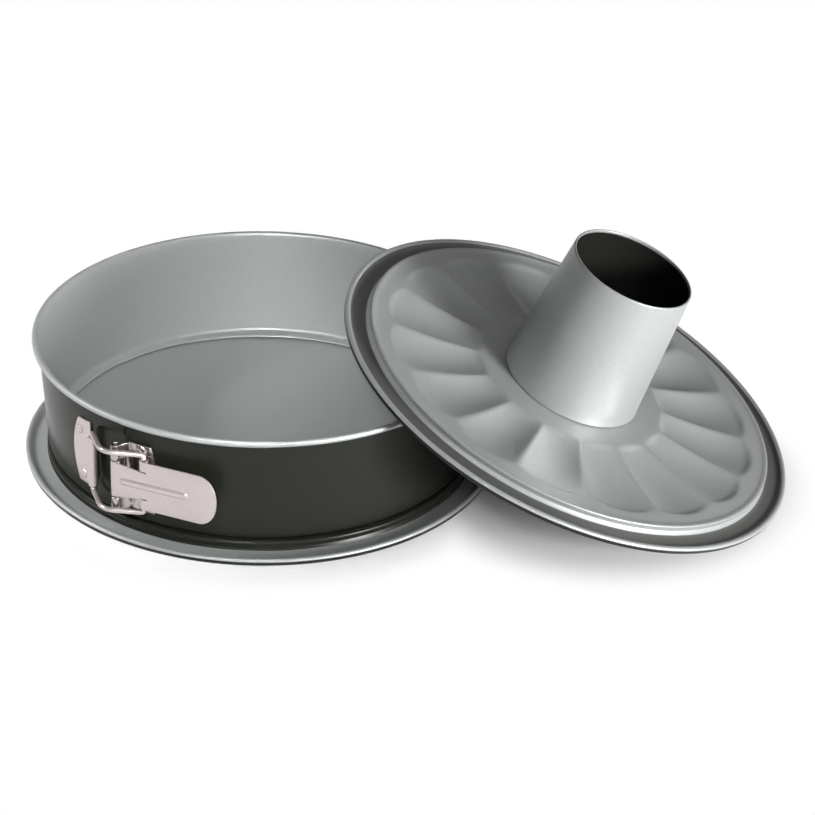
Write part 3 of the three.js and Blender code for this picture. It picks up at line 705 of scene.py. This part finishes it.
def climb(axis_at, along_by, share):
    """Place between the wall and a roll's axis, for each height; share is how far it has come out."""
    axis = plan(axis_at[0], axis_at[1])
    along, out = along_wall(axis_at[1])

    def place(z):
        wall = wall_out(z) + PLATE_LIFT - axis_at[0]
        return axis + along * along_by + out * (wall * (1 - share)) + Vector((0, 0, z))
    return place


def roll_edge(bm, edges, places):
    """Carries a row of edges from place to place; each place gives a point for a height."""
    for place in places:
        grown = bmesh.ops.extrude_edge_only(bm, edges=edges)["geom"]
        verts = {g for g in grown if isinstance(g, bmesh.types.BMVert)}
        edges = [g for g in grown if isinstance(g, bmesh.types.BMEdge)]
        edges = [e for e in edges if all(v in verts for v in e.verts)]
        for vert in verts:
            vert.co = place(vert.co.z / MM) * MM


def edge_row(bm, verts, low, high):
    """Edges of a row of vertices between two heights."""
    slack = 0.01
    row = {v for v in verts if low - slack < v.co.z / MM < high + slack}
    return [e for e in bm.edges if all(v in row for v in e.verts)]


def make_bail_plate():
    """Plate on the left strip with a bowed left side; its right side rolls round the wire."""
    low, high = CLASP_Z - BAIL_PLATE_DOWN, CLASP_Z + BAIL_PLATE_UP
    corner_drop = 0.6
    left_foot_deg, left_lean_deg, left_bow_deg = 231.4, 1.7, 9.1
    right_deg = wall_deg(BAIL_ROOT_AT[1], -BAIL_PLATE_NEAR)
    columns, rows = 10, 42
    rise_steps = ((-2.75, 0.2), (-2.4, 0.5), (-2.25, 0.8))
    bm = bmesh.new()
    bmesh.ops.create_grid(bm, x_segments=columns, y_segments=rows, size=0.5)
    right_edge = []
    for vert in bm.verts:
        p, q = vert.co.x + 0.5, vert.co.y + 0.5
        z = low + q * (high - low) - (1 - p) * q * corner_drop
        left_deg = left_foot_deg + left_lean_deg * q - left_bow_deg * q * (1 - q)
        deg = left_deg + p * (right_deg - left_deg)
        vert.co = (plan(wall_out(z) + PLATE_LIFT, deg) + Vector((0, 0, z))) * MM
        if p > 1 - GRID_EDGE:
            right_edge.append(vert)
    root = plan(BAIL_ROOT_AT[0], BAIL_ROOT_AT[1])
    along, out = along_wall(BAIL_ROOT_AT[1])
    edges = edge_row(bm, right_edge, CLASP_Z - BAIL_BARREL_HALF, CLASP_Z + BAIL_BARREL_HALF)
    rise = [climb(BAIL_ROOT_AT, *step) for step in rise_steps]
    roll_edge(bm, edges, rise + curl(root, along, out, start_deg=180, end_deg=-165))
    bmesh.ops.recalc_face_normals(bm, faces=bm.faces)
    plate = make_piece(bm, "bail_plate_rolled", "left_band", ["bail_plate"], [clasp_steel])
    thicken(plate, PLATE_T, PLATE_EDGE)


def make_lever_bracket():
    """Plate on the right strip with a bowed right side; its left side stands out into two knuckles."""
    left_along, right_along, right_bow = 4.9, 19.5, 3.0
    columns, rows = 14, 44
    stand_steps = ((4.6, 0.08), (4.1, 0.25), (3.5, 0.45))
    tip_slack = 0.02
    bm = bmesh.new()
    bmesh.ops.create_grid(bm, x_segments=columns, y_segments=rows, size=0.5)
    left_edge = []
    for vert in bm.verts:
        p = vert.co.x + 0.5
        dz = vert.co.y * 2 * BRACKET_HALF
        z = CLASP_Z + dz
        reach = right_along + right_bow * (1 - (dz / BRACKET_HALF) ** 2)
        deg = wall_deg(PIN_AT[1], left_along + p * (reach - left_along))
        vert.co = (plan(wall_out(z) + PLATE_LIFT, deg) + Vector((0, 0, z))) * MM
        if p < GRID_EDGE:
            left_edge.append(vert)
    pin = plan(PIN_AT[0], PIN_AT[1])
    along, out = along_wall(PIN_AT[1])
    stand = [climb(PIN_AT, *step) for step in stand_steps]
    knuckle = [climb(PIN_AT, along_by=2.7, share=0.72)]
    knuckle += curl(pin, along, out, start_deg=0, end_deg=285)
    roll_edge(bm, edge_row(bm, left_edge, CLASP_Z - KNUCKLE_HALF, CLASP_Z + KNUCKLE_HALF), stand)
    tip_at = stand[-1]
    tips = [v for v in bm.verts if (v.co / MM - tip_at(v.co.z / MM)).length < tip_slack]
    for side in (1, -1):
        near = CLASP_Z + side * (TONGUE_ROOT_HALF + CLEAR)
        far = CLASP_Z + side * KNUCKLE_HALF
        roll_edge(bm, edge_row(bm, tips, min(near, far), max(near, far)), knuckle)
    bmesh.ops.recalc_face_normals(bm, faces=bm.faces)
    steel = [bright_steel_painted_shade]
    bracket = make_piece(bm, "lever_bracket_rolled", "pan", ["lever_bracket"], steel)
    thicken(bracket, PLATE_T, THIN_EDGE)


def make_rivet(name, node, body, deg, z, steel):
    """Rivet with a flat head inside the wall and a soft low dome outside the plate."""
    steps = 28
    shank, tail = 1.3, 2.2
    under_head, under_tail = 0.06, 0.55
    inner = wall_out(z) - SHEET - under_tail
    outer = wall_out(z) + CLEAR + PLATE_T
    head = [(2.8, under_head), (2.75, 0.3), (2.3, 0.72), (1.6, 1.08), (0.9, 1.25), (0, 1.3)]
    profile = [(0, inner - 0.8), (tail - 0.2, inner - 0.75), (tail, inner - 0.5), (tail, inner)]
    profile += [(shank, inner), (shank, outer + under_head)] + [(r, outer + rise) for r, rise in head]
    bm = bmesh.new()
    spin_round(bm, profile, steps, FIRST_COAT)
    weld(bm)
    along, out = along_wall(deg)
    stand = Matrix((
        (along.x, 0, out.x, 0), (along.y, 0, out.y, 0), (0, 1, 0, z * MM), (0, 0, 0, 1),
    ))
    bm.transform(stand)
    bmesh.ops.recalc_face_normals(bm, faces=bm.faces)
    make_piece(bm, name, body, [node], [steel])


def make_rivets():
    bail_deg = wall_deg(BAIL_ROOT_AT[1], BAIL_RIVET_ALONG)
    bracket_deg = wall_deg(PIN_AT[1], BRACKET_RIVET_ALONG)
    for place, node_end, side in (("top", "upper", 1), ("foot", "lower", -1)):
        make_rivet(
            f"bail_rivet_{place}", f"bail_rivet_{node_end}", "left_band",
            bail_deg, CLASP_Z + side * BAIL_RIVET_DZ, clasp_steel,
        )
        make_rivet(
            f"bracket_rivet_{place}", f"bracket_rivet_{node_end}", "pan",
            bracket_deg, CLASP_Z + side * BRACKET_RIVET_DZ, bright_steel_painted_shade,
        )


def rounded_corners(corners, bends):
    """The route with each inner corner rounded, starting its bend that far from the corner."""
    steps = 8
    points = [corners[0]]
    for i in range(1, len(corners) - 1):
        into = (corners[i] - corners[i - 1]).normalized()
        away = (corners[i + 1] - corners[i]).normalized()
        start = corners[i] - into * bends[i - 1]
        end = corners[i] + away * bends[i - 1]
        for k in range(steps + 1):
            t = k / steps
            points.append(start * (1 - t) ** 2 + corners[i] * 2 * t * (1 - t) + end * t * t)
    points.append(corners[-1])
    return points


def make_wire_bail():
    end = plan(BAIL_END_AT[0], BAIL_END_AT[1])
    knee = plan(KNEE_AT[0], KNEE_AT[1])
    root = plan(BAIL_ROOT_AT[0], BAIL_ROOT_AT[1])
    up = Vector((0, 0, CLASP_Z + BAIL_HALF))
    down = Vector((0, 0, CLASP_Z - BAIL_HALF))
    stub = Vector((0, 0, LEVER_HALF + CLEAR))
    mid = Vector((0, 0, CLASP_Z))
    corners = [
        end + mid + stub, end + up, knee + up, root + up,
        root + down, knee + down, end + down, end + mid - stub,
    ]
    points = rounded_corners(corners, [END_BEND, KNEE_BEND, END_BEND, END_BEND, KNEE_BEND, END_BEND])
    curve = bpy.data.curves.new("wire_bail_path", "CURVE")
    curve.dimensions = "3D"
    spline = curve.splines.new("POLY")
    spline.points.add(len(points) - 1)
    for slot, point in zip(spline.points, points):
        slot.co = (*(point * MM), 1)
    curve.bevel_depth = WIRE_R * MM
    curve.bevel_resolution = 5
    curve.use_fill_caps = True
    path = bpy.data.objects.new("wire_bail_path", curve)
    bpy.context.scene.collection.objects.link(path)
    bpy.context.view_layer.update()
    swept = bpy.data.meshes.new_from_object(path.evaluated_get(bpy.context.evaluated_depsgraph_get()))
    bm = bmesh.new()
    bm.from_mesh(swept)
    bpy.data.objects.remove(path)
    weld(bm)
    make_piece(bm, "wire_bail_bent", "bail", ["wire_bail"], [clasp_steel])


def lever_outline(arm):
    """Lever's flat sheet: tongue, slit, tab and rounded paddle end on the lower side, then the upper."""
    slit_end = arm + 2.4
    slit_round = 0.4
    tab_end = arm + 4
    round_from = LEVER_LEN - PADDLE_ROUND
    lower = [
        (0, -TONGUE_ROOT_HALF), (slit_end, -TONGUE_TIP_HALF),
        (slit_end + slit_round, -(TONGUE_TIP_HALF + TAB_HALF) / 2), (slit_end, -TAB_HALF),
        (arm, -TAB_HALF), (arm, -LEVER_HALF), (tab_end, -LEVER_HALF), (round_from, -LEVER_HALF),
    ]
    lower += bezier(
        (round_from, -LEVER_HALF), (round_from + PADDLE_PULL, -LEVER_HALF),
        (LEVER_LEN, -PADDLE_TIP_HALF), (LEVER_LEN, 0), steps=10,
    )
    return lower + [(s, -z) for s, z in lower[-2::-1]]


def rib_outline():
    """Long rounded rib pressed along the lever."""
    step_deg = 20
    points = []
    for centre, first_deg in ((RIB_END, -90), (RIB_START, 90)):
        for deg in range(first_deg, first_deg + 181, step_deg):
            turn = math.radians(deg)
            points.append((centre + RIB_HALF * math.cos(turn), RIB_HALF * math.sin(turn)))
    return points


def make_lever():
    """Flat sheet with a rib raised in steps; tongue and tabs roll round the pin and the wire's ends."""
    rib_steps = ((0.3, 0.0), (0.3, 0.15), (0.35, 0.35), (0.4, 0.25), (0.5, 0.08))
    edge_slack = 0.02
    pin = plan(PIN_AT[0], PIN_AT[1])
    end = plan(BAIL_END_AT[0], BAIL_END_AT[1])
    arm = (end - pin).length
    along = (end - pin).normalized()
    out = along.cross(Vector((0, 0, 1)))
    bm = bmesh.new()
    loops = []
    for points in (lever_outline(arm), rib_outline()):
        verts = [bm.verts.new((s * MM, z * MM, 0)) for s, z in points]
        loops.append([bm.edges.new((a, b)) for a, b in zip(verts, verts[1:] + verts[:1])])
    bmesh.ops.triangle_fill(bm, edges=loops[0] + loops[1], use_dissolve=False, use_beauty=True)
    crown = bmesh.ops.contextual_create(bm, geom=loops[1])["faces"]
    bmesh.ops.recalc_face_normals(bm, faces=bm.faces)
    if crown[0].normal.z < 0:
        bmesh.ops.reverse_faces(bm, faces=bm.faces)
    for width, rise in rib_steps:
        bmesh.ops.inset_region(
            bm, faces=crown, thickness=width * MM, depth=rise * MM, use_even_offset=True,
        )
    stand = Matrix((
        (along.x, 0, out.x, pin.x * MM), (along.y, 0, out.y, pin.y * MM),
        (0, 1, 0, CLASP_Z * MM), (0, 0, 0, 1),
    ))
    bm.transform(stand @ Matrix.Translation((0, 0, CURL_R * MM)))
    rolls = [
        (pin, -TONGUE_ROOT_HALF, TONGUE_ROOT_HALF),
        (end, TAB_HALF, LEVER_HALF), (end, -LEVER_HALF, -TAB_HALF),
    ]
    for centre, low, high in rolls:
        cut = [v for v in bm.verts if abs((v.co / MM - centre).dot(along)) < edge_slack]
        row = edge_row(bm, cut, CLASP_Z + low, CLASP_Z + high)
        roll_edge(bm, row, curl(centre, along, out, start_deg=105, end_deg=390))
    bmesh.ops.recalc_face_normals(bm, faces=bm.faces)
    lever = make_piece(bm, "lever_pressed", "clasp_lever", ["lever"], [clasp_steel])
    thicken(lever, PLATE_T, PLATE_EDGE)


def make_hinge_pin():
    half = KNUCKLE_HALF - PIN_SHORT
    broken = 0.3
    steps = 24
    profile = [
        (0, -half), (PIN_R - broken, -half), (PIN_R, -half + broken),
        (PIN_R, half - broken), (PIN_R - broken, half), (0, half),
    ]
    bm = bmesh.new()
    spin_round(bm, profile, steps, FIRST_COAT)
    weld(bm)
    at = plan(PIN_AT[0], PIN_AT[1]) + Vector((0, 0, CLASP_Z))
    bm.transform(Matrix.Translation(at * MM))
    make_piece(bm, "lever_hinge_wire", "pan", ["lever_hinge_pin"], [clasp_steel])


make_flat_base()
make_band_right()
make_band_left()
make_band_lap()
make_tube_base_disc()
make_centre_tube()
make_bail_plate()
make_lever_bracket()
make_rivets()
make_wire_bail()
make_lever()
make_hinge_pin()


# Floor, light and camera, in metres
def make_floor_paper():
    """Pale paper that keeps the shadow near the pan and the tube base and turns white away from them."""
    shaded = (((0, 0, 0), 0.14), ((0.2, 0.017, 0), 0.1))
    white_from, white_at = -0.01, 0.03
    material = bpy.data.materials.new("floor_paper")
    material.use_nodes = True
    tree = material.node_tree
    tree.nodes.clear()
    end = tree.nodes.new("ShaderNodeOutputMaterial")
    paper = add_node(tree, "ShaderNodeBsdfDiffuse", Color=(0.9, 0.885, 0.9, 1))
    glow = add_node(tree, "ShaderNodeEmission", Color=(1, 1, 1, 1), Strength=1.0)
    where = tree.nodes.new("ShaderNodeTexCoord")
    distances = []
    for centre, reach in shaded:
        span = tree.nodes.new("ShaderNodeVectorMath")
        span.operation = "DISTANCE"
        span.inputs[1].default_value = centre
        tree.links.new(where.outputs["Object"], span.inputs[0])
        past = tree.nodes.new("ShaderNodeMath")
        past.operation = "SUBTRACT"
        past.inputs[1].default_value = reach
        tree.links.new(span.outputs["Value"], past.inputs[0])
        distances.append(past.outputs["Value"])
    sweep = add_node(tree, "ShaderNodeMapRange", From_Min=white_from, From_Max=white_at)
    sweep.interpolation_type = "SMOOTHSTEP"
    tree.links.new(combine(tree, "MINIMUM", *distances), sweep.inputs["Value"])
    rays = tree.nodes.new("ShaderNodeLightPath")
    shown = rays.outputs["Is Camera Ray"]
    for ray in ("Is Glossy Ray", "Is Transmission Ray"):
        shown = combine(tree, "MAXIMUM", shown, rays.outputs[ray])
    share = combine(tree, "MULTIPLY", shown, sweep.outputs["Result"])
    both = tree.nodes.new("ShaderNodeMixShader")
    tree.links.new(share, both.inputs[0])
    tree.links.new(paper.outputs["BSDF"], both.inputs[1])
    tree.links.new(glow.outputs["Emission"], both.inputs[2])
    tree.links.new(both.outputs["Shader"], end.inputs["Surface"])
    return material


def make_floor():
    half_side = 6
    drop = 0.0002
    bm = bmesh.new()
    bmesh.ops.create_grid(bm, x_segments=1, y_segments=1, size=half_side)
    bmesh.ops.translate(bm, verts=bm.verts, vec=(0, 0, -drop))
    mesh = bpy.data.meshes.new("floor")
    bm.to_mesh(mesh)
    bm.free()
    mesh.materials.append(make_floor_paper())
    floor = bpy.data.objects.new("floor", mesh)
    bpy.context.scene.collection.objects.link(floor)


def make_world():
    """Soft room light, brighter low down and to the right."""
    bright_side = Vector((0.5, -0.25, -0.83)).normalized()
    dim, bright = 0.05, 0.45
    dim_to, bright_from = -0.8, 0.5
    world = bpy.data.worlds.new("studio")
    bpy.context.scene.world = world
    world.use_nodes = True
    tree = world.node_tree
    back = tree.nodes["Background"]
    back.inputs["Color"].default_value = (1, 1, 1, 1)
    where = tree.nodes.new("ShaderNodeTexCoord")
    facing = tree.nodes.new("ShaderNodeVectorMath")
    facing.operation = "DOT_PRODUCT"
    facing.inputs[1].default_value = bright_side
    tree.links.new(where.outputs["Generated"], facing.inputs[0])
    room = add_node(
        tree, "ShaderNodeMapRange",
        From_Min=dim_to, From_Max=bright_from, To_Min=dim, To_Max=bright,
    )
    tree.links.new(facing.outputs["Value"], room.inputs["Value"])
    tree.links.new(room.outputs["Result"], back.inputs["Strength"])


def add_softbox(name, at, aim, side, power, spread_deg=180):
    """Square lamp at a place, turned to a point; a small spread makes it a narrow beam."""
    light = bpy.data.lights.new(name, "AREA")
    light.shape = "SQUARE"
    light.size = side
    light.spread = math.radians(spread_deg)
    light.energy = power
    lamp = bpy.data.objects.new(name, light)
    lamp.location = at
    lamp.rotation_euler = (Vector(aim) - Vector(at)).to_track_quat("-Z", "Y").to_euler()
    bpy.context.scene.collection.objects.link(lamp)


def make_camera():
    """Camera fitted to the photo: focal length in pixels, shifts as shares of the picture's side."""
    picture = 815
    focal_px = 2998.69
    lens = bpy.data.cameras.new("photo_view")
    lens.sensor_width = 36
    lens.lens = focal_px * lens.sensor_width / picture
    lens.shift_x = 0.09725
    lens.shift_y = 0.0056
    lens.clip_start = 0.1
    lens.clip_end = 50
    camera = bpy.data.objects.new("photo_view", lens)
    at = (0.406482, -1.501221, 0.881838)
    turn_deg = (61.03251, -0.96056, 14.2317)
    turn = Euler([math.radians(deg) for deg in turn_deg]).to_matrix().to_4x4()
    camera.matrix_world = Matrix.Translation(at) @ turn
    bpy.context.scene.collection.objects.link(camera)
    bpy.context.scene.camera = camera


make_floor()
make_world()
add_softbox("key_softbox", at=(1.03, -0.54, 0.23), aim=(0.2, 0, 0.08), side=0.28, power=21)
add_softbox(
    "pan_softbox", at=(0.15, -1.05, 0.85), aim=(-0.085, 0.08, 0.03),
    side=0.15, power=0.42, spread_deg=22,
)
add_softbox(
    "left_softbox", at=(-0.8, -0.25, 0.5), aim=(-0.12, -0.02, 0.0),
    side=0.15, power=0.17, spread_deg=22,
)
make_camera()
bpy.context.scene.view_settings.view_transform = "Standard"
